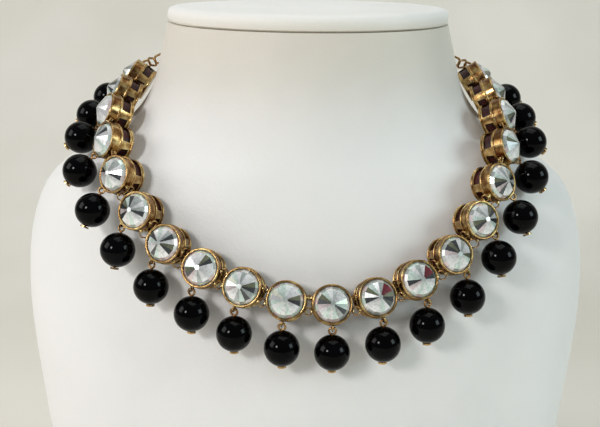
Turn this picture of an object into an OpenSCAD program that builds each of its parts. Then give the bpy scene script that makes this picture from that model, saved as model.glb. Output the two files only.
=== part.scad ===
// Necklace of foiled crystals in gold cups, each with a black bead drop, on a white neck bust.
// Millimetres, +Z up, the front of the necklace towards -Y, the origin at the middle of the bust's base.

/* [Neck bust] */
// Height of the bust, from its base up to the seam under the neck cap
bust_h = 203; // [198:1:208]
// Width across the shoulders at their widest
shoulder_w = 194.4; // [190:0.2:198]
// How far the chest stands forward of the neck's middle at its fullest
chest_d = 56; // [54:0.5:57]
// How far the back stands behind the neck's middle at its fullest
back_d = 43.5; // [41:0.5:44]
// How far the neck's middle lies behind the middle of the base
neck_setback = 3; // [0:0.5:6]
// Thickness of the cap that closes the top of the neck
cap_t = 5; // [4:0.5:8]
// Depth of the groove that shows as a dark seam between neck and cap
seam_groove = 1.2; // [0.6:0.1:2]
// Gap between the neck and the cap
cap_gap = 0.1; // [0.05:0.05:0.3]

/* [Crystals] */
// Diameter of a crystal at its girdle
stone_d = 10.5; // [10.2:0.1:10.7]
// Height of the pointed crown above the girdle
crown_h = 3; // [2.6:0.1:3.4]
// Height of the steep lower facets of the crown
lower_crown_h = 1.3; // [1:0.1:1.5]
// Width of the ring that the lower facets take up
lower_crown_w = 0.9; // [0.7:0.1:1.2]
// Depth of the pointed back below the girdle
pavilion_h = 2.8; // [2:0.1:3.2]
// Thickness of the girdle
girdle_t = 0.4; // [0.2:0.1:0.6]
// Diameter of the small flat table at the tip
table_d = 1.4; // [1:0.1:3]
// Number of wedge facets round a crystal
facets = 16; // [8:1:16]
// Gap between a crystal and its cup
stone_gap = 0.08; // [0.06:0.01:0.15]

/* [Setting cups] */
// Number of cups
cup_count = 20; // [16:2:20]
// Distance between the centres of two neighbouring cups, along the necklace
cup_pitch = 13.3; // [13.1:0.1:13.5]
// Height of a cup from its back to its rim
cup_h = 7.8; // [7.4:0.1:8.4]
// Thickness of a cup's wall
cup_wall = 0.4; // [0.35:0.05:0.5]
// How much narrower a cup is at its back than at its rim
cup_taper = 0.8; // [0.4:0.1:1.2]
// Thickness of a cup's back plate
cup_floor = 0.7; // [0.5:0.1:1]
// Radius of the round wire that edges the rim
rim_wire_r = 0.32; // [0.28:0.01:0.4]
// Radius of the wires that edge the band and the back
band_wire_r = 0.3; // [0.2:0.05:0.4]
// Width of a window in the cup's side
window_w = 6; // [4:0.1:6.4]
// Height of a window
window_h = 2.8; // [2.4:0.1:3]
// Height of a window's lower edge above the back
window_sill = 1.2; // [1:0.1:1.4]

/* [Lac fillings] */
// Gap between the lac filling and the metal and crystal round it
lac_gap = 0.15; // [0.1:0.01:0.2]
// Height of the filling at the wall above its height in the middle
lac_dish = 0.9; // [0.6:0.1:1]
// Width of the filling's level edge at the wall
lac_edge_w = 1.7; // [1.4:0.1:2]
// Radius of the flat middle of the dish
lac_middle_r = 0.4; // [0.3:0.1:0.8]

/* [Links between the cups] */
// Height above a cup's back at which its links are fastened
link_level = 6.3; // [6:0.1:6.4]
// Distance of the upper and the lower link from the middle of the gap
link_spread = 2; // [1.8:0.1:2.2]
// Radius of a link's wire
link_wire_r = 0.2; // [0.18:0.01:0.22]
// Radius of the hole in a side lug
lug_hole_r = 0.36; // [0.34:0.01:0.38]
// Width of the metal round the hole in a side lug
lug_rim = 0.2; // [0.16:0.01:0.22]
// Thickness of a side lug
lug_t = 0.4; // [0.3:0.05:0.5]
// Radius of the short stem that carries a side lug
lug_stem_r = 0.24; // [0.2:0.02:0.28]
// Gap between a link and the wall of its cup
link_gap = 0.3; // [0.24:0.02:0.34]

/* [Bead drops] */
// Diameter of a bead
bead_d = 10.5; // [9.9:0.1:10.7]
// Diameter of the bore through a bead
bead_bore = 1; // [0.9:0.1:1.4]
// Radius of the pin's wire
pin_wire_r = 0.32; // [0.26:0.02:0.34]
// Radius of the pin's eye, to the middle of its wire
eye_r = 1; // [0.95:0.05:1.2]
// Diameter of the pin's flat head
pin_head_d = 2.6; // [2:0.1:3]
// Thickness of the pin's flat head
pin_head_t = 0.5; // [0.3:0.1:0.8]
// Gap between a bead and its pin, above and below
bead_gap = 0.1; // [0.06:0.02:0.2]
// Height above a cup's back at which its bead is fastened
drop_level = 5.9; // [5.8:0.05:6]
// Radius of the wire lug under a cup, to the middle of its wire
drop_lug_r = 0.92; // [0.88:0.01:1]
// Radius of that lug's wire
drop_lug_wire_r = 0.25; // [0.2:0.01:0.27]
// How far a lug is let into the cup's wall by its solder
solder_w = 0.3; // [0.24:0.02:0.34]

/* [Chain and clasp] */
// Radius of the chain's wire
chain_wire_r = 0.4; // [0.3:0.05:0.45]
// Width inside a chain link
chain_inner_w = 1.9; // [1.8:0.1:2.2]
// Distance from one chain link to the next
chain_pitch = 3.5; // [3.3:0.1:4]
// How much thinner a link's straight runs are than its bent ends, and how far they lap into them
link_step = 0.01; // [0.005:0.005:0.02]
link_lap = 0.1; // [0.06:0.02:0.12]
// Play between two hooked chain links
chain_play = 0.25; // [0.2:0.05:0.35]
// Width of the metal round the hole in the lug that holds the chain
end_lug_rim = 0.3; // [0.26:0.02:0.36]
// Distance between the middles of the clasp's two end rings
clasp_l = 16; // [14:0.5:18]
// Diameter of the clasp's barrel
clasp_d = 3.4; // [3:0.1:3.8]
// Length of the cone at each end of the barrel
clasp_cone_l = 2; // [1.5:0.1:2.5]
// Radius of the hole in a clasp ring
clasp_hole_r = 0.75; // [0.7:0.05:0.9]

/* [Hidden] */
$fn = 48;

GOLD = "#C9A24E";
BLACK = "#0C0C0F";
CRYSTAL = "#E8EEEA";
WHITE = "#EDEBE6";
LAC = "#4A1216";

// The bust's sections from the base up to the seam. Height is a share of bust_h, half_width of half
// shoulder_w, chest of chest_d and back of back_d. Roundness is the power of the section's outline,
// 2 for an ellipse, and dip is how far the front lies lower, as a share of bust_h.
HEIGHT = 0;
HALF_WIDTH = 1;
CHEST = 2;
BACK = 3;
ROUNDNESS = 4;
DIP = 5;
SECTIONS = [
    [0, 0.775, 0.84, 0.95, 2.5, 0],
    [0.01, 0.79, 0.855, 0.96, 2.5, 0],
    [0.15, 0.87, 0.955, 0.985, 2.35, 0],
    [0.28, 0.935, 1, 0.99, 2.2, 0],
    [0.41, 0.975, 0.99, 1, 2.05, 0],
    [0.54, 1, 0.94, 1, 1.95, 0],
    [0.65, 0.985, 0.86, 0.995, 1.87, 0],
    [0.735, 0.922, 0.805, 0.98, 1.8, 0],
    [0.78, 0.825, 0.78, 0.965, 1.72, 0],
    [0.805, 0.735, 0.765, 0.955, 1.7, 0],
    [0.83, 0.655, 0.755, 0.945, 1.72, 0],
    [0.86, 0.586, 0.745, 0.935, 1.78, 0.001],
    [0.9, 0.532, 0.732, 0.92, 1.85, 0.004],
    [0.95, 0.503, 0.715, 0.905, 1.95, 0.009],
    [1, 0.476, 0.7, 0.895, 2, 0.0125],
];
RINGS_PER_SECTION = 3;
BUST_SIDES = 64;

// The cap's rings: inset as a share of seam_groove, and height as a share of cap_t.
CAP_RINGS = [[1, 0], [0.15, 0.12], [0, 0.3], [0, 0.55], [0.4, 0.85], [1.6, 0.97], [3, 1]];

// Points on the route of the cups, at the level of their links, from the left end round the front to
// the right end: sideways, behind the neck's middle and below the seam in millimetres, then how far
// the cups face upwards, how far they turn from the surface towards the front, and how far the beads
// swing out from straight down, in degrees.
UPWARDS = 3;
TURN = 4;
SWING = 5;
CUP_ROUTE = [
    [-51.2, 20.5, 11.5, 38, 16, 70],
    [-59.3, 7.5, 18, 34, 17, 68],
    [-63.3, -17.5, 27.2, 24, 26, 60],
    [-59, -36.2, 42, 18, 26, 35],
    [-43.2, -48.2, 62, 20, 10, 8],
    [-20, -55.2, 73.5, 22, 2, 2],
    [0.9, -57.4, 78.2, 23, 0, 1],
    [21.8, -55.6, 76.3, 22, -2, 1],
    [44.5, -48.2, 64.8, 20, 11, 9],
    [59, -36.7, 43, 18, 26, 30],
    [62.3, -18.5, 27.2, 24, 26, 60],
    [58.5, 7.5, 17, 34, 17, 73],
    [52, 20.5, 11, 38, 16, 76],
];
FRONT_ROW = 6;

// Points on a chain's route from the clasp to the end cup, measured in the same way on the right side
CHAIN_ROUTE = [[20, 38.8, 9], [35, 31.8, 10], [45, 24.5, 10.5]];
CLASP_POINT = [42, 8.5];
PATH_STEPS = 10;

// Sizes that follow from the crystal
stone_r = stone_d / 2;
inner_r = stone_r + stone_gap;
rim_r = inner_r + cup_wall;
back_r = rim_r - cup_taper / 2;
rim_wire_z = cup_h - rim_wire_r;
rim_wire_ring_r = rim_r - cup_wall / 2;
rim_clearance = rim_wire_r + stone_gap;
girdle_top = rim_wire_z - sqrt(pow(rim_clearance, 2) - pow(rim_wire_ring_r - stone_r, 2));
girdle_bottom = girdle_top - girdle_t;
seat_w = 0.6;
seat_t = 0.5;
seat_r = stone_r - seat_w;
seat_z = girdle_bottom - pavilion_h * seat_w / stone_r - stone_gap;
wall_foot_r = back_r - cup_wall;

// Sizes that follow from the wires
lug_r = lug_hole_r + lug_rim;
lug_x = sqrt(pow(rim_r, 2) - pow(link_spread, 2)) + link_wire_r + link_gap;
drop_lug_y = rim_r + drop_lug_r + drop_lug_wire_r - solder_w;
end_lug_hole_r = chain_wire_r + chain_play;
end_lug_r = end_lug_hole_r + end_lug_rim;
end_lug_x = rim_r + end_lug_r - solder_w;
bead_r = bead_d / 2;
drop_l = bead_r + bead_gap + pin_wire_r + 2 * eye_r;

function setting_name(i) = str("setting_", i < 10 ? "0" : "", i);
function bead_name(i) = str("bead_", i < 10 ? "0" : "", i);

function unit(v) = v / norm(v);

// A row of a route with its place in the model
function placed(row) = [
    row[0], row[1] + neck_setback, bust_h - row[2], for (c = [3 : 1 : len(row) - 1]) row[c]
];
function place(row) = [row[0], row[1], row[2]];

// A smooth curve through the rows of a list, at share t of the way from row i to the next one
function curve(rows, i, t) =
    let (
        before = rows[max(i - 1, 0)],
        here = rows[i],
        next = rows[i + 1],
        after = rows[min(i + 2, len(rows) - 1)]
    )
    here
    + t * (next - before) / 2
    + t * t * (before - 2.5 * here + 2 * next - after / 2)
    + t * t * t * ((after - before) / 2 + 1.5 * (here - next));

// A route as a fine line, and its columns against the running length of that line
function fine_line(rows) = [
    for (i = [0 : len(rows) - 2]) for (k = [0 : PATH_STEPS - 1]) curve(rows, i, k / PATH_STEPS),
    rows[len(rows) - 1]
];
function running_lengths(line) =
    let (steps = [for (k = [1 : len(line) - 1]) norm(place(line[k]) - place(line[k - 1]))])
    [for (k = 0, run = 0; k < len(line); run = run + (k < len(steps) ? steps[k] : 0), k = k + 1) run];
function route_of(rows) =
    let (line = fine_line(rows), runs = running_lengths(line))
    [for (c = [0 : len(rows[0]) - 1]) [for (k = [0 : len(line) - 1]) [runs[k], line[k][c]]]];
function route_length(route) = let (column = route[0]) column[len(column) - 1][0];

// A route at a running length, the direction in which it runs there and the level way out from it
function route_at(route, run) = [for (column = route) lookup(run, column)];
function direction_at(route, run) =
    unit(place(route_at(route, run + 0.8)) - place(route_at(route, run - 0.8)));
function level_out_at(route, run) =
    let (along = direction_at(route, run)) unit([along[1], -along[0], 0]);

// A frame on a route: its origin, its direction, the way up along the surface and the way out
function frame_at(route, run, upwards = 0, turn = 0) =
    let (
        along = direction_at(route, run),
        level_out = unit(level_out_at(route, run) * cos(turn) - [0, sin(turn), 0]),
        out = level_out * cos(upwards) + [0, 0, sin(upwards)],
        x = unit(along - (along * out) * out)
    )
    [place(route_at(route, run)), x, cross(out, x), out];

cup_route = route_of([for (row = CUP_ROUTE) placed(row)]);
front_run = cup_route[0][FRONT_ROW * PATH_STEPS][0];
function cup_run(i) = front_run + (i - (cup_count + 1) / 2) * cup_pitch;
function cup_frame(i) =
    let (run = cup_run(i), row = route_at(cup_route, run))
    frame_at(cup_route, run, row[UPWARDS], row[TURN]);
function in_frame(f, p) = f[0] + p[0] * f[1] + p[1] * f[2] + p[2] * f[3];

// The hole in the lug under cup i, and the frame of its drop: its origin in the middle of the bead,
// its third axis up through the pin's eye
function drop_hole(i) = in_frame(cup_frame(i), [0, -drop_lug_y, drop_level - link_level]);
function drop_frame(i) =
    let (
        f = cup_frame(i),
        swing = route_at(cup_route, cup_run(i))[SWING],
        down = level_out_at(cup_route, cup_run(i)) * sin(swing) - [0, 0, cos(swing)],
        x = unit(f[1] - (f[1] * down) * down)
    )
    [drop_hole(i) + down * drop_l, x, cross(-down, x), -down];

// The frame of that lug: its second axis square to the cup's wall, its first as near as it can be to
// the wire of the pin's eye
function drop_lug_frame(i) =
    let (
        up = cup_frame(i)[2],
        wire = drop_frame(i)[1],
        x = unit(wire - (wire * up) * up)
    )
    [drop_hole(i), x, up, cross(x, up)];

// The hole in a side lug of cup i, towards the next cup (way 1) or the one before (way -1), and the
// frame of the upper (side 1) or lower (side -1) link between cup i and the next
function lug_hole(i, way, side) = in_frame(cup_frame(i), [way * lug_x, side * link_spread, 0]);
function link_frame(i, side) =
    let (
        from = lug_hole(i, 1, side),
        to = lug_hole(i + 1, -1, side),
        x = unit(to - from),
        up = cup_frame(i)[2] + cup_frame(i + 1)[2],
        y = unit(up - (up * x) * x)
    )
    [(from + to) / 2, x, y, cross(x, y)];

// The chain on one side (-1 left, 1 right), from the clasp's ring to the lug of the end cup. Every second
// link is turned on its edge, and both end links pass through the middles of their holes.
function end_hole(side) = in_frame(cup_frame(side > 0 ? cup_count : 1), [side * end_lug_x, 0, 0]);
function chain_route(side) = route_of([
    placed([side * clasp_l / 2, each CLASP_POINT]),
    for (row = CHAIN_ROUTE) placed([side * row[0], row[1], row[2]]),
    end_hole(side)
]);
chain_reach = chain_play / 2 + chain_wire_r;
function chain_length(route) = route_length(route) - 2 * chain_reach;
function chain_count(route) = 2 * round(chain_length(route) / chain_pitch / 2);
function chain_frame(route, k) =
    frame_at(route, chain_reach + (k + 0.5) * chain_length(route) / chain_count(route));

// A frame moved to another point
function moved(f, p) = [p, f[1], f[2], f[3]];

module on(f) {
    multmatrix([
        [f[1][0], f[2][0], f[3][0], f[0][0]],
        [f[1][1], f[2][1], f[3][1], f[0][1]],
        [f[1][2], f[2][2], f[3][2], f[0][2]],
    ]) children();
}

// One point of a section of the bust: the outline is an ellipse-like curve of the row's roundness
function section_point(row, angle, inset = 0) =
    let (
        power = 2 / row[ROUNDNESS],
        width = row[HALF_WIDTH] * shoulder_w / 2 - inset,
        depth = (cos(angle) > 0 ? row[CHEST] * chest_d : row[BACK] * back_d) - inset,
        x = width * sign(sin(angle)) * pow(abs(sin(angle)), power),
        y = -depth * sign(cos(angle)) * pow(abs(cos(angle)), power)
    )
    [x, y + neck_setback, (row[HEIGHT] + row[DIP] * y / (row[CHEST] * chest_d)) * bust_h];

function section_ring(row, inset = 0, lift = 0) = [
    for (k = [0 : BUST_SIDES - 1]) section_point(row, 360 * k / BUST_SIDES, inset) + [0, 0, lift]
];

// A closed skin over rings of points of one count, listed from the lowest ring up
module loft(rings) {
    sides = len(rings[0]);
    top = (len(rings) - 1) * sides;
    walls = [
        for (r = [0 : len(rings) - 2])
            for (k = [0 : sides - 1])
                let (a = r * sides + k, b = r * sides + (k + 1) % sides)
                    each [[a, a + sides, b], [b, a + sides, b + sides]]
    ];
    bottom_face = [for (k = [0 : sides - 1]) k];
    top_face = [for (k = [sides - 1 : -1 : 0]) top + k];
    polyhedron([for (ring = rings) each ring], concat([bottom_face], walls, [top_face]));
}

// The bust of white leatherette over a solid core, from the base to the seam under the cap
module neck_bust() {
    rows = [
        for (i = [0 : len(SECTIONS) - 2])
            for (k = [0 : RINGS_PER_SECTION - 1])
                curve(SECTIONS, i, k / RINGS_PER_SECTION),
        SECTIONS[len(SECTIONS) - 1]
    ];
    color(WHITE) loft([for (row = rows) section_ring(row)]);
}

// The cap on the neck, with the neck's outline, drawn in at its foot so that a seam shows
module neck_cap() {
    row = SECTIONS[len(SECTIONS) - 1];
    color(WHITE) loft([
        for (ring = CAP_RINGS) section_ring(row, ring[0] * seam_groove, cap_gap + ring[1] * cap_t)
    ]);
}

// A crystal: steep facets above the girdle, long wedges that rise to a small table, a pointed back
module crystal() {
    function ring(r, z) = [
        for (k = [0 : facets - 1]) let (angle = 360 * k / facets) [r * cos(angle), r * sin(angle), z]
    ];
    rings = [
        ring(stone_r, girdle_bottom),
        ring(stone_r, girdle_top),
        ring(stone_r - lower_crown_w, girdle_top + lower_crown_h),
        ring(table_d / 2, girdle_top + crown_h)
    ];
    walls = [
        for (r = [0 : len(rings) - 2])
            for (k = [0 : facets - 1])
                let (a = r * facets + k, b = r * facets + (k + 1) % facets)
                    [a, a + facets, b + facets, b]
    ];
    tip = len(rings) * facets;
    back = [for (k = [0 : facets - 1]) [tip, k, (k + 1) % facets]];
    table = [for (k = [1 : facets]) tip - k];
    polyhedron(
        [for (r = rings) each r, [0, 0, girdle_bottom - pavilion_h]],
        concat(walls, back, [table])
    );
}

module crystal_stones() {
    color(CRYSTAL) for (i = [1 : cup_count]) on(cup_frame(i)) translate([0, 0, -link_level]) crystal();
}

// A round wire bent into a full ring about the third axis
module wire_ring(ring_r, wire_r) {
    rotate_extrude() translate([ring_r, 0]) circle(r = wire_r);
}

// A cup: back plate, tapered wall with a seat for the crystal, rim, band and back wires, four windows
module cup() {
    difference() {
        rotate_extrude() polygon([
            [0, 0],
            [back_r, 0],
            [rim_r, window_sill + window_h],
            [rim_r, rim_wire_z],
            [inner_r, rim_wire_z],
            [inner_r, seat_z],
            [seat_r, seat_z],
            [seat_r, seat_z - seat_t],
            [wall_foot_r, seat_z - seat_t - seat_w],
            [wall_foot_r, cup_floor],
            [0, cup_floor]
        ]);
        for (turn = [0, 90])
            rotate(turn)
                translate([0, 0, window_sill + window_h / 2])
                    cube([2 * rim_r + 2, window_w, window_h], center = true);
    }
    translate([0, 0, rim_wire_z]) wire_ring(rim_wire_ring_r, rim_wire_r);
    translate([0, 0, window_sill + window_h + 2 * band_wire_r]) wire_ring(rim_r, band_wire_r);
    translate([0, 0, band_wire_r]) wire_ring(back_r, band_wire_r);
}

// The lac that fills a cup behind its crystal and shows in the windows, dished for the crystal's back
module lac_filling() {
    lac_r = wall_foot_r - lac_gap;
    middle_z = girdle_bottom - pavilion_h - lac_gap;
    rotate_extrude() polygon([
        [0, cup_floor + lac_gap],
        [lac_r, cup_floor + lac_gap],
        [lac_r, middle_z + lac_dish],
        [lac_r - lac_edge_w, middle_z + lac_dish],
        [lac_middle_r, middle_z],
        [0, middle_z]
    ]);
}

module lac_fillings() {
    color(LAC) for (i = [1 : cup_count]) on(cup_frame(i)) translate([0, 0, -link_level]) lac_filling();
}

// A flat lug with a hole about the second axis of its own frame, on a short stem that runs from the
// hole into the cup's wall, level in the cup's frame
module lug(cup, own, way, outer_r, hole_r, stem_l) {
    difference() {
        union() {
            on(own) rotate([90, 0, 0]) cylinder(r = outer_r, h = lug_t, center = true);
            on(moved(cup, own[0])) rotate([0, -way * 90, 0]) cylinder(r = lug_stem_r, h = stem_l);
        }
        on(own) rotate([90, 0, 0]) cylinder(r = hole_r, h = 2 * lug_t, center = true);
    }
}

// The pair of lugs on one side of cup i, each square to the wire of its link, or a single lug for the
// chain on an end cup
module side_lugs(i, way) {
    link = way > 0 ? i : i - 1;
    cup = cup_frame(i);
    if (link == 0 || link == cup_count) {
        route = chain_route(way);
        last_link = chain_frame(route, chain_count(route) - 1);
        lug(cup, moved(last_link, end_hole(way)), way, end_lug_r, end_lug_hole_r, end_lug_r);
    } else
        for (side = [-1, 1]) {
            own = moved(link_frame(link, side), lug_hole(i, way, side));
            lug(cup, own, way, lug_r, lug_hole_r, link_wire_r + link_gap + solder_w);
        }
}

// A cup with its soldered lugs
module setting(i) {
    color(GOLD) {
        on(cup_frame(i)) translate([0, 0, -link_level]) cup();
        for (way = [-1, 1]) side_lugs(i, way);
        on(drop_lug_frame(i)) rotate([0, 90, 0]) wire_ring(drop_lug_r, drop_lug_wire_r);
    }
}

module bead(i) {
    color(BLACK) on(drop_frame(i)) difference() {
        sphere(r = bead_r);
        cylinder(d = bead_bore, h = bead_d + 2, center = true);
    }
}

// A pin: flat head under the bead, shank through its bore, round eye through the cup's lug
module head_pin() {
    head_z = -bead_r - bead_gap - pin_head_t;
    eye_z = drop_l - eye_r;
    translate([0, 0, head_z]) cylinder(d = pin_head_d, h = pin_head_t);
    translate([0, 0, head_z]) cylinder(r = pin_wire_r, h = eye_z - eye_r - head_z);
    translate([0, 0, eye_z]) rotate([90, 0, 0]) wire_ring(eye_r, pin_wire_r);
}

module head_pins() {
    color(GOLD) for (i = [1 : cup_count]) on(drop_frame(i)) head_pin();
}

// An oval link of round wire, its long way along the second axis. Its straight runs are a hair thinner
// than the bent ends and run a little way into them, so that they join as one wire.
module oval_link(half_w, straight, wire_r) {
    for (turn = [0, 180])
        rotate(turn) {
            translate([0, straight / 2, 0])
                rotate_extrude(angle = 180) translate([half_w, 0]) circle(r = wire_r);
            translate([half_w, 0, 0])
                rotate([90, 0, 0])
                    cylinder(r = wire_r - link_step, h = straight + 2 * link_lap, center = true);
        }
}

module cup_links() {
    color(GOLD) for (i = [1 : cup_count - 1]) for (side = [-1, 1])
        on(link_frame(i, side))
            wire_ring(norm(lug_hole(i + 1, -1, side) - lug_hole(i, 1, side)) / 2, link_wire_r);
}

module chain(side) {
    route = chain_route(side);
    half_w = chain_inner_w / 2 + chain_wire_r;
    straight = chain_length(route) / chain_count(route) + chain_play - chain_inner_w;
    for (k = [0 : chain_count(route) - 1])
        on(chain_frame(route, k))
            rotate([k % 2 == 0 ? 90 : 0, 0, 90]) oval_link(half_w, straight, chain_wire_r);
}

module chain_left() {
    color(GOLD) chain(-1);
}

module chain_right() {
    color(GOLD) chain(1);
}

// The clasp: one plain barrel with a ring at each end
module clasp() {
    ring_r = clasp_hole_r + chain_wire_r;
    barrel_l = clasp_l - 2 * ring_r;
    color(GOLD) translate(placed([0, each CLASP_POINT])) {
        rotate([0, 90, 0]) rotate_extrude() polygon([
            [0, -barrel_l / 2],
            [chain_wire_r, -barrel_l / 2],
            [clasp_d / 2, clasp_cone_l - barrel_l / 2],
            [clasp_d / 2, barrel_l / 2 - clasp_cone_l],
            [chain_wire_r, barrel_l / 2],
            [0, barrel_l / 2]
        ]);
        for (side = [-1, 1])
            translate([side * clasp_l / 2, 0, 0]) rotate([90, 0, 0]) wire_ring(ring_r, chain_wire_r);
    }
}

neck_bust();
neck_cap();
crystal_stones();
lac_fillings();
head_pins();
cup_links();
chain_left();
chain_right();
clasp();
for (i = [1 : cup_count]) setting(i);
for (i = [1 : cup_count]) bead(i);
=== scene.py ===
import math
import random

import bmesh
import bpy
from mathutils import Matrix, Vector


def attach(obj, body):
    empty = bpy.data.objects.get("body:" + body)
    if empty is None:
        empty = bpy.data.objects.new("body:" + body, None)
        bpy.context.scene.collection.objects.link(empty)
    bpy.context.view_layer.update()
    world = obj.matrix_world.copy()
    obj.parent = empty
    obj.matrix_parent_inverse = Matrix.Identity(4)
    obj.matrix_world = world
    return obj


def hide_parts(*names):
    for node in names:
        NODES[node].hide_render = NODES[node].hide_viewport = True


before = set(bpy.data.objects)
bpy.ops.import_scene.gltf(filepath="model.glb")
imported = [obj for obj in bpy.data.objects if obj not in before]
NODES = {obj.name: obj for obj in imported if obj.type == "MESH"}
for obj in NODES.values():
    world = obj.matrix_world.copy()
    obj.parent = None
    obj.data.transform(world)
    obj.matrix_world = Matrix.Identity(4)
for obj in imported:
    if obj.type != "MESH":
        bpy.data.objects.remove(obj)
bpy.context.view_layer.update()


# The neck bust: a moulded core covered in white leatherette, a vinyl with a fine pebbled grain.
# The cover is one smooth skin, drawn tight over the core and turned in under the base.

def shader(name):
    """A material with its node tree, its surface shader and a way to add and join nodes."""
    material = bpy.data.materials.new(name)
    material.use_nodes = True
    tree = material.node_tree
    surface = tree.nodes["Principled BSDF"]

    def add(kind, **settings):
        node = tree.nodes.new("ShaderNode" + kind)
        for key, value in settings.items():
            setattr(node, key, value)
        return node

    def join(out, into):
        tree.links.new(out, into)

    return material, surface, add, join


def from_object(add, join, scale, kind="TexNoise", **settings):
    """A texture node laid out in the object's own metres, with its scale in turns per metre."""
    place = add("TexCoord")
    texture = add(kind, **settings)
    join(place.outputs["Object"], texture.inputs["Vector"])
    texture.inputs["Scale"].default_value = scale
    return texture


def shades(add, join, source, stops):
    """A colour ramp on a texture's output, from stops of position and colour."""
    ramp = add("ValToRGB")
    edge = ramp.color_ramp.elements
    edge[0].position, edge[0].color = stops[0][0], (*stops[0][1], 1)
    edge[1].position, edge[1].color = stops[-1][0], (*stops[-1][1], 1)
    for position, colour in stops[1:-1]:
        edge.new(position).color = (*colour, 1)
    join(source, ramp.inputs["Fac"])
    return ramp.outputs["Color"]


def level(add, join, source, low, high):
    """A texture's output stretched between two plain numbers."""
    spread = add("MapRange")
    spread.inputs["To Min"].default_value = low
    spread.inputs["To Max"].default_value = high
    join(source, spread.inputs["Value"])
    return spread.outputs["Result"]


def relief(add, join, surface, *layers):
    """Bumps one over another, each a texture's output, its depth in metres and its strength."""
    below = None
    for source, depth, strength in layers:
        bump = add("Bump")
        bump.inputs["Distance"].default_value = depth
        bump.inputs["Strength"].default_value = strength
        join(source, bump.inputs["Height"])
        if below:
            join(below, bump.inputs["Normal"])
        below = bump.outputs["Normal"]
    join(below, surface.inputs["Normal"])


def leatherette(name, tint, painted_shade_heights):
    """White vinyl with fine pebbles and a satin gloss, with painted shade that darkens and warms it
    from one height to another.
    """
    material, surface, add, join = shader(name)
    pebbles = from_object(add, join, 1400, "TexVoronoi", feature="SMOOTH_F1")
    creases = from_object(add, join, 520)
    clouding = from_object(add, join, 22)
    clouding.inputs["Detail"].default_value = 3
    wear = from_object(add, join, 60)
    shade = shades(add, join, clouding.outputs["Fac"], [
        (0.3, tuple(0.94 * c for c in tint)),
        (0.5, tint),
        (0.72, tuple(min(1, 1.03 * c) for c in tint)),
    ])
    # Painted shade: between the two given heights the vinyl's colour is multiplied darker and warmer,
    # in place of the shade that falls near the cap.
    place, height = add("TexCoord"), add("SeparateXYZ")
    join(place.outputs["Object"], height.inputs["Vector"])
    painted_shade_ramp = add("MapRange", interpolation_type="SMOOTHSTEP")
    painted_shade_ramp.inputs["From Min"].default_value, painted_shade_ramp.inputs["From Max"].default_value = painted_shade_heights
    join(height.outputs["Z"], painted_shade_ramp.inputs["Value"])
    painted_shade_mix = add("Mix", data_type="RGBA", blend_type="MULTIPLY")
    painted_shade_mix.inputs["B"].default_value = (0.84, 0.8, 0.72, 1)
    join(painted_shade_ramp.outputs["Result"], painted_shade_mix.inputs["Factor"])
    join(shade, painted_shade_mix.inputs["A"])
    join(painted_shade_mix.outputs["Result"], surface.inputs["Base Color"])
    join(level(add, join, wear.outputs["Fac"], 0.42, 0.6), surface.inputs["Roughness"])
    surface.inputs["Specular IOR Level"].default_value = 0.35
    surface.inputs["Subsurface Weight"].default_value = 0.06
    surface.inputs["Subsurface Radius"].default_value = (0.002, 0.0016, 0.0012)
    relief(add, join, surface,
           (clouding.outputs["Fac"], 0.0008, 0.12),
           (creases.outputs["Fac"], 0.0002, 0.25),
           (pebbles.outputs["Distance"], 0.00012, 0.35))
    return material


WELD = 1e-6
TURNED_EDGE = math.radians(50)


def cad_copy(node, name):
    """A new mesh with the outline of one CAD node, its split corners welded into whole faces."""
    mesh = bmesh.new()
    mesh.from_mesh(NODES[node].data)
    bmesh.ops.remove_doubles(mesh, verts=mesh.verts, dist=WELD)
    bmesh.ops.join_triangles(
        mesh, faces=mesh.faces, angle_face_threshold=0.7, angle_shape_threshold=0.9)
    data = bpy.data.meshes.new(name)
    mesh.to_mesh(data)
    mesh.free()
    piece = bpy.data.objects.new(name, data)
    bpy.context.collection.objects.link(piece)
    return piece


def finished(piece, material, slot, *replaced):
    """Gives a piece its material and its place on the body, and hides what it stands for. Its slot is
    not used.
    """
    piece.data.materials.clear()
    piece.data.materials.append(material)
    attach(piece, "root")
    if replaced:
        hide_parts(*replaced)
    return piece


def drawn_cover(node, name, vinyl):
    """A smooth skin over a CAD node, kept crisp where it turns in at the edges."""
    cover = cad_copy(node, name)
    for face in cover.data.polygons:
        face.use_smooth = True
    crease = cover.modifiers.new("turned_edges", "EDGE_SPLIT")
    crease.split_angle = TURNED_EDGE
    finished(cover, vinyl, "leatherette", node)


# The neck's vinyl gets painted warm shade from 0.165 m up to 0.2 m, just below the cap.
white_vinyl = leatherette("white_leatherette", (0.865, 0.86, 0.84), (0.165, 0.2))
drawn_cover("neck_bust", "bust_cover", white_vinyl)


# The cap that closes the neck: a board disc wrapped in the same leatherette, its edge rounded over
# and drawn in underneath, so that a dark seam shows between it and the neck.

# The cap is the same leatherette painted lighter, as painted light on its upturned top, with painted
# shade towards its lower edge, from 0.209 m down to 0.199 m.
cap_painted_light_vinyl = leatherette("cap_leatherette", (0.93, 0.925, 0.9), (0.209, 0.199))
drawn_cover("neck_cap", "cap_cover", cap_painted_light_vinyl)


# The gold cups: cast brass with a deep antique gold plate, brown with old polish in the corners and
# bright where fingers rub it. Each cup keeps its own CAD solid.

CUPS = 20


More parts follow.
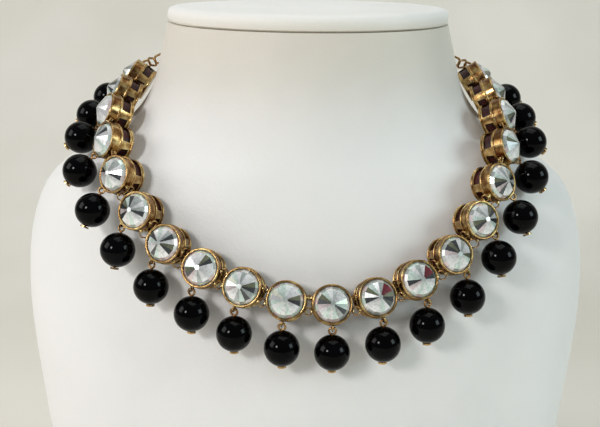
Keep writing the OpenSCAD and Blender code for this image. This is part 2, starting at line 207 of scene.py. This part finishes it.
def antique_gold(name, bright, mid, dark, rough):
    """Gold plate that is bright on its edges, brown in its corners, faintly pitted and scratched."""
    material, surface, add, join = shader(name)
    surface.inputs["Metallic"].default_value = 1
    edges = add("NewGeometry")
    patches = from_object(add, join, 420)
    patches.inputs["Detail"].default_value = 5
    pits = from_object(add, join, 2600)
    scratches = from_object(add, join, 900)
    scratches.inputs["Distortion"].default_value = 2.5
    rubbed = shades(add, join, edges.outputs["Pointiness"],
                    [(0.42, dark), (0.5, mid), (0.58, bright)])
    stained = shades(add, join, patches.outputs["Fac"],
                     [(0.4, dark), (0.53, mid), (0.68, bright)])
    blend = add("Mix", data_type="RGBA")
    blend.inputs["Factor"].default_value = 0.45
    join(rubbed, blend.inputs["A"])
    join(stained, blend.inputs["B"])
    join(blend.outputs["Result"], surface.inputs["Base Color"])
    gloss = level(add, join, patches.outputs["Fac"], rough - 0.08, rough + 0.14)
    join(gloss, surface.inputs["Roughness"])
    relief(add, join, surface,
           (patches.outputs["Fac"], 0.00012, 0.35),
           (scratches.outputs["Fac"], 0.00004, 0.3),
           (pits.outputs["Fac"], 0.00003, 0.3))
    return material


cup_gold = antique_gold(
    "cup_gold", (0.92, 0.76, 0.36), (0.4, 0.23, 0.08), (0.07, 0.016, 0.008), 0.24)


def refinished(node, material):
    """A CAD node keeps its shape and gets its real finish."""
    piece = NODES[node]
    piece.data.materials.clear()
    piece.data.materials.append(material)
    return piece


for i in range(1, CUPS + 1):
    refinished(f"setting_{i:02d}", cup_gold)


# The lac: wine-brown resin, poured into each cup while warm and dished for the crystal's back. It
# shows, dark and a little glossy, in the cups' windows.

def poured_lac(name):
    """Wine-brown resin with lumps, small bubbles and an uneven gloss."""
    material, surface, add, join = shader(name)
    lumps = from_object(add, join, 600)
    bubbles = from_object(add, join, 2600, "TexVoronoi")
    join(shades(add, join, lumps.outputs["Fac"], [
        (0.3, (0.012, 0.002, 0.003)), (0.5, (0.035, 0.005, 0.006)), (0.7, (0.075, 0.012, 0.01)),
    ]), surface.inputs["Base Color"])
    join(level(add, join, lumps.outputs["Fac"], 0.3, 0.55), surface.inputs["Roughness"])
    surface.inputs["Specular IOR Level"].default_value = 0.3
    relief(add, join, surface,
           (lumps.outputs["Fac"], 0.0002, 0.4),
           (bubbles.outputs["Distance"], 0.00005, 0.3))
    return material


refinished("lac_fillings", poured_lac("wine_lac"))


# The crystals: round glass stones with a ring of steep facets, wedge facets that rise to a small
# table, and a pointed back silvered with foil. Each wedge is painted with a reflection of its own, the
# steep ring with painted glints.

GIRDLE_HALF = 0.0002
STEP_RISE = 0.0015
STEP_INSET = 0.0009
TABLE_RISE = 0.0032
TABLE_RADIUS = 0.0007
BACK_DEPTH = 0.0030
FOIL_GAP = 0.00001
WEDGES = 16
CHANGED_WEDGES = 4
STEEP_FADE = 0.9
WEDGE_FADE = 0.6
FULL_WIDTH_SHARE = 0.97

# Painted reflections: the colours the crown's facets are painted with, white, mint, grey, dark, moss,
# rose and wine, in place of the light a foiled crystal throws back.
PAINTED_WHITE, PAINTED_MINT, PAINTED_GREY = (1, 1, 1), (0.78, 0.93, 0.85), (0.52, 0.56, 0.54)
PAINTED_DARK, PAINTED_MOSS, PAINTED_ROSE = (0.06, 0.065, 0.07), (0.2, 0.21, 0.13), (0.85, 0.72, 0.72)
PAINTED_WINE = (0.22, 0.02, 0.035)
PAINTED_WINE_STONES = (11, 12)
PAINTED_WINE_WEDGES = (5, 6)
WEDGE_PAINTED_REFLECTIONS = [
    PAINTED_WHITE, PAINTED_MINT, PAINTED_WHITE, PAINTED_WHITE, PAINTED_DARK, PAINTED_MOSS, PAINTED_WHITE, PAINTED_WHITE,
    PAINTED_GREY, PAINTED_WHITE, PAINTED_MINT, PAINTED_MOSS, PAINTED_DARK, PAINTED_ROSE, PAINTED_WHITE, PAINTED_WHITE,
]
SPARK_PAINTED_GLINTS = [PAINTED_WHITE] * 3 + [PAINTED_MINT] * 3 + [PAINTED_ROSE] * 2 + [PAINTED_GREY] * 3


def islands(node):
    """The loose solids of a CAD node, each as a list of its corner points."""
    mesh = bmesh.new()
    mesh.from_mesh(NODES[node].data)
    bmesh.ops.remove_doubles(mesh, verts=mesh.verts, dist=WELD)
    left, found = set(mesh.verts), []
    while left:
        group, edge = set(), [left.pop()]
        while edge:
            corner = edge.pop()
            group.add(corner)
            for line in corner.link_edges:
                other = line.other_vert(corner)
                if other in left:
                    left.discard(other)
                    edge.append(other)
        found.append([corner.co.copy() for corner in group])
    mesh.free()
    return found


def stone_frames():
    """For each stone: its radius, its girdle's middle, its axis out of the cup, the way down it."""
    frames = []
    for corners in islands("crystal_stones"):
        width = max((c - d).length for c in corners for d in corners)
        rim = [c for c in corners if any((c - d).length > FULL_WIDTH_SHARE * width for d in corners)]
        middle = sum(rim, Vector()) / len(rim)
        rest = [c for c in corners if c not in rim]
        axis = (sum(rest, Vector()) / len(rest) - middle).normalized()
        down = Vector((0, 0, -1))
        down = (down - down.dot(axis) * axis).normalized()
        frames.append((width / 2, middle, axis, down))
    return sorted(frames, key=lambda stone: stone[1].x)


def cut_crystal(name):
    """A silvered glass facet: its own painted reflection, streaked darker at random, with a hard gloss
    and a smudge of handling.
    """
    material, surface, add, join = shader(name)
    # The tint layer holds each facet's painted reflection, multiplied by random darker streaks.
    tint = add("VertexColor", layer_name="tint")
    streaks = from_object(add, join, 700)
    streaks.inputs["Distortion"].default_value = 1.8
    smudge = from_object(add, join, 260)
    shade = shades(add, join, streaks.outputs["Fac"],
                   [(0.34, (0.5, 0.55, 0.52)), (0.56, (1, 1, 1))])
    blend = add("Mix", data_type="RGBA", blend_type="MULTIPLY")
    blend.inputs["Factor"].default_value = 0.6
    join(tint.outputs["Color"], blend.inputs["A"])
    join(shade, blend.inputs["B"])
    join(blend.outputs["Result"], surface.inputs["Base Color"])
    surface.inputs["Metallic"].default_value = 0.3
    surface.inputs["Coat Weight"].default_value = 1
    surface.inputs["Coat Roughness"].default_value = 0.02
    surface.inputs["Coat IOR"].default_value = 1.6
    join(level(add, join, smudge.outputs["Fac"], 0.1, 0.24), surface.inputs["Roughness"])
    return material


def foil(name):
    """The silvering behind a stone under its bronze lacquer, a little streaked."""
    material, surface, add, join = shader(name)
    streaks = from_object(add, join, 900)
    streaks.inputs["Distortion"].default_value = 1.5
    join(shades(add, join, streaks.outputs["Fac"], [
        (0.3, (0.3, 0.16, 0.07)), (0.65, (0.55, 0.36, 0.18)),
    ]), surface.inputs["Base Color"])
    surface.inputs["Metallic"].default_value = 0.85
    join(level(add, join, streaks.outputs["Fac"], 0.22, 0.4), surface.inputs["Roughness"])
    return material


def ring(mesh, stone, radius, rise):
    """A ring of corners round a stone's axis."""
    reach, middle, axis, down = stone
    side = axis.cross(down)
    return [
        mesh.verts.new(middle + axis * rise + radius * (math.cos(a) * down + math.sin(a) * side))
        for a in (math.tau * k / WEDGES for k in range(WEDGES))
    ]


def facets(mesh, layer, lower, upper, painted_reflections, fade):
    """Flat facets between two rings, each with its own painted reflection, painted darker towards the
    upper ring.
    """
    for k in range(WEDGES):
        after = (k + 1) % WEDGES
        face = mesh.faces.new((lower[k], lower[after], upper[after], upper[k]))
        for corner, share in zip(face.loops, (1, 1, fade, fade)):
            corner[layer] = (*(share * c for c in painted_reflections[k]), 1)


crown_mesh, back_mesh = bmesh.new(), bmesh.new()
crown_painted_reflection = crown_mesh.loops.layers.float_color.new("tint")
chance = random.Random(7)

for number, stone in enumerate(stone_frames()):
    reach, middle, axis, down = stone
    bottom = ring(crown_mesh, stone, reach, -GIRDLE_HALF)
    girdle = ring(crown_mesh, stone, reach, GIRDLE_HALF)
    step = ring(crown_mesh, stone, reach - STEP_INSET, STEP_RISE)
    table = ring(crown_mesh, stone, TABLE_RADIUS, TABLE_RISE)
    # Each stone gets the wedges' painted reflections turned a little, four changed at random, and two
    # stones a wine-red painted reflection.
    turn = chance.randrange(-1, 3)
    wedges = WEDGE_PAINTED_REFLECTIONS[turn:] + WEDGE_PAINTED_REFLECTIONS[:turn]
    for k in chance.sample(range(WEDGES), CHANGED_WEDGES):
        wedges[k] = chance.choice((PAINTED_WHITE, PAINTED_MINT, PAINTED_GREY, PAINTED_DARK))
    if number in PAINTED_WINE_STONES:
        for k in PAINTED_WINE_WEDGES:
            wedges[k] = PAINTED_WINE
    painted_glints = [chance.choice(SPARK_PAINTED_GLINTS) for k in range(WEDGES)]
    # The girdle band is painted grey reflection, the steep ring painted glints, the wedges their
    # painted reflections.
    facets(crown_mesh, crown_painted_reflection, bottom, girdle, [PAINTED_GREY] * WEDGES, 1)
    facets(crown_mesh, crown_painted_reflection, girdle, step, painted_glints, STEEP_FADE)
    facets(crown_mesh, crown_painted_reflection, step, table, wedges, WEDGE_FADE)
    for face in (crown_mesh.faces.new(table), crown_mesh.faces.new(bottom[::-1])):
        for corner in face.loops:
            corner[crown_painted_reflection] = (*PAINTED_GREY, 1)

    rim = ring(back_mesh, stone, reach, -GIRDLE_HALF - FOIL_GAP)
    tip = back_mesh.verts.new(middle - axis * BACK_DEPTH)
    for k in range(WEDGES):
        back_mesh.faces.new((rim[(k + 1) % WEDGES], rim[k], tip))

for mesh, name, material, replaced in (
    (crown_mesh, "crystal_crowns", cut_crystal("cut_crystal"), ["crystal_stones"]),
    (back_mesh, "crystal_foils", foil("stone_foil"), []),
):
    bmesh.ops.recalc_face_normals(mesh, faces=mesh.faces)
    data = bpy.data.meshes.new(name)
    mesh.to_mesh(data)
    mesh.free()
    piece = bpy.data.objects.new(name, data)
    bpy.context.collection.objects.link(piece)
    finished(piece, material, "crystal", *replaced)


# The head pins and the small jump rings: drawn brass wire with the same gold plate, shinier than the
# cast cups. A pin goes up through each bead and ends in an eye round the cup's lug.

wire_gold = antique_gold(
    "wire_gold", (0.68, 0.46, 0.2), (0.38, 0.21, 0.08), (0.09, 0.028, 0.015), 0.22)
refinished("head_pins", wire_gold)
refinished("cup_links", wire_gold)


# The black beads: round drilled onyx, polished to a hard gloss with the faintest haze of handling.

def polished_onyx(name):
    """Near-black stone with a clear gloss and a few faint cloudy bands."""
    material, surface, add, join = shader(name)
    bands = from_object(add, join, 160)
    bands.inputs["Distortion"].default_value = 1.2
    haze = from_object(add, join, 500)
    join(shades(add, join, bands.outputs["Fac"], [
        (0.35, (0.0004, 0.0004, 0.0005)), (0.7, (0.0012, 0.0012, 0.0018)),
    ]), surface.inputs["Base Color"])
    join(level(add, join, haze.outputs["Fac"], 0.02, 0.08), surface.inputs["Roughness"])
    surface.inputs["Specular IOR Level"].default_value = 0.09
    relief(add, join, surface, (haze.outputs["Fac"], 0.00002, 0.1))
    return material


onyx = polished_onyx("black_onyx")
for i in range(1, CUPS + 1):
    refinished(f"bead_{i:02d}", onyx)


# The chain behind the neck and its barrel clasp, both of the same gold-plated brass wire.

for node in ("chain_left", "chain_right", "clasp"):
    refinished(node, wire_gold)


# What the bust stands on and is lit by: a plain pale table that curves up behind, a lamp beside the
# camera, soft ones from the left, the right and above, and the camera itself.

def plain_backdrop(name):
    """Matt warm off-white paint with the slightest unevenness."""
    material, surface, add, join = shader(name)
    clouding = from_object(add, join, 6)
    join(shades(add, join, clouding.outputs["Fac"], [
        (0.35, (0.78, 0.74, 0.66)), (0.65, (0.86, 0.825, 0.75)),
    ]), surface.inputs["Base Color"])
    surface.inputs["Roughness"].default_value = 0.85
    return material


TABLE_FRONT, BEND_START, BEND_RADIUS = -1.2, 0.35, 0.4
WALL_TOP, HALF_WIDTH = 1.6, 1.6

sweep_mesh = bmesh.new()
profile = [(TABLE_FRONT, 0.0), (BEND_START, 0.0)]
for degrees in range(10, 100, 10):
    bend = math.radians(degrees)
    profile.append((BEND_START + BEND_RADIUS * math.sin(bend),
                    BEND_RADIUS - BEND_RADIUS * math.cos(bend)))
profile.append((BEND_START + BEND_RADIUS, WALL_TOP))
rows = [[sweep_mesh.verts.new((x, y, z)) for x in (-HALF_WIDTH, HALF_WIDTH)] for y, z in profile]
for near, far in zip(rows, rows[1:]):
    sweep_mesh.faces.new((near[0], near[1], far[1], far[0])).smooth = True
data = bpy.data.meshes.new("table_sweep")
sweep_mesh.to_mesh(data)
sweep_mesh.free()
table_sweep = bpy.data.objects.new("table_sweep", data)
table_sweep.data.materials.append(plain_backdrop("warm_off_white"))
bpy.context.collection.objects.link(table_sweep)


LAMP_AIM = Vector((0, -0.03, 0.13))


def soft_lamp(name, place, size, watts, colour):
    """A square soft lamp aimed at the middle of the necklace."""
    lamp = bpy.data.lights.new(name, "AREA")
    lamp.size, lamp.energy, lamp.color = size, watts, colour
    holder = bpy.data.objects.new(name, lamp)
    holder.location = place
    holder.rotation_euler = (LAMP_AIM - Vector(place)).to_track_quat("-Z", "Y").to_euler()
    bpy.context.collection.objects.link(holder)


soft_lamp("near_lamp", (-0.5, -0.715, 0.56), 0.17, 3, (1, 0.985, 0.98))
soft_lamp("window_lamp", (-1.1, -0.3, 0.7), 0.6, 4.6, (1, 0.99, 0.985))
soft_lamp("fill_lamp", (1.05, -0.45, 0.6), 0.45, 4.8, (0.8, 0.97, 1))
soft_lamp("ceiling_lamp", (0.1, 0.1, 1.4), 0.9, 4.6, (0.97, 1, 1))

world = bpy.data.worlds.new("studio")
world.use_nodes = True
world.node_tree.nodes["Background"].inputs["Color"].default_value = (0.93, 0.95, 0.97, 1)
world.node_tree.nodes["Background"].inputs["Strength"].default_value = 0.22
bpy.context.scene.world = world
bpy.context.scene.view_settings.view_transform = "Standard"

CAMERA_TILT, CAMERA_ROLL = math.radians(14), math.radians(0.6)
NECKLACE_FRONT = Vector((-0.002, -0.048, 0.150))
CAMERA_DISTANCE = 0.240

lens = bpy.data.cameras.new("camera")
lens.sensor_width, lens.lens, lens.clip_start = 36, 49.9, 0.01
camera = bpy.data.objects.new("camera", lens)
look = Vector((0, math.cos(CAMERA_TILT), -math.sin(CAMERA_TILT)))
camera.location = NECKLACE_FRONT - CAMERA_DISTANCE * look
upright = look.to_track_quat("-Z", "Y").to_matrix()
camera.rotation_euler = (upright @ Matrix.Rotation(CAMERA_ROLL, 3, "Z")).to_euler()
bpy.context.collection.objects.link(camera)
bpy.context.scene.camera = camera
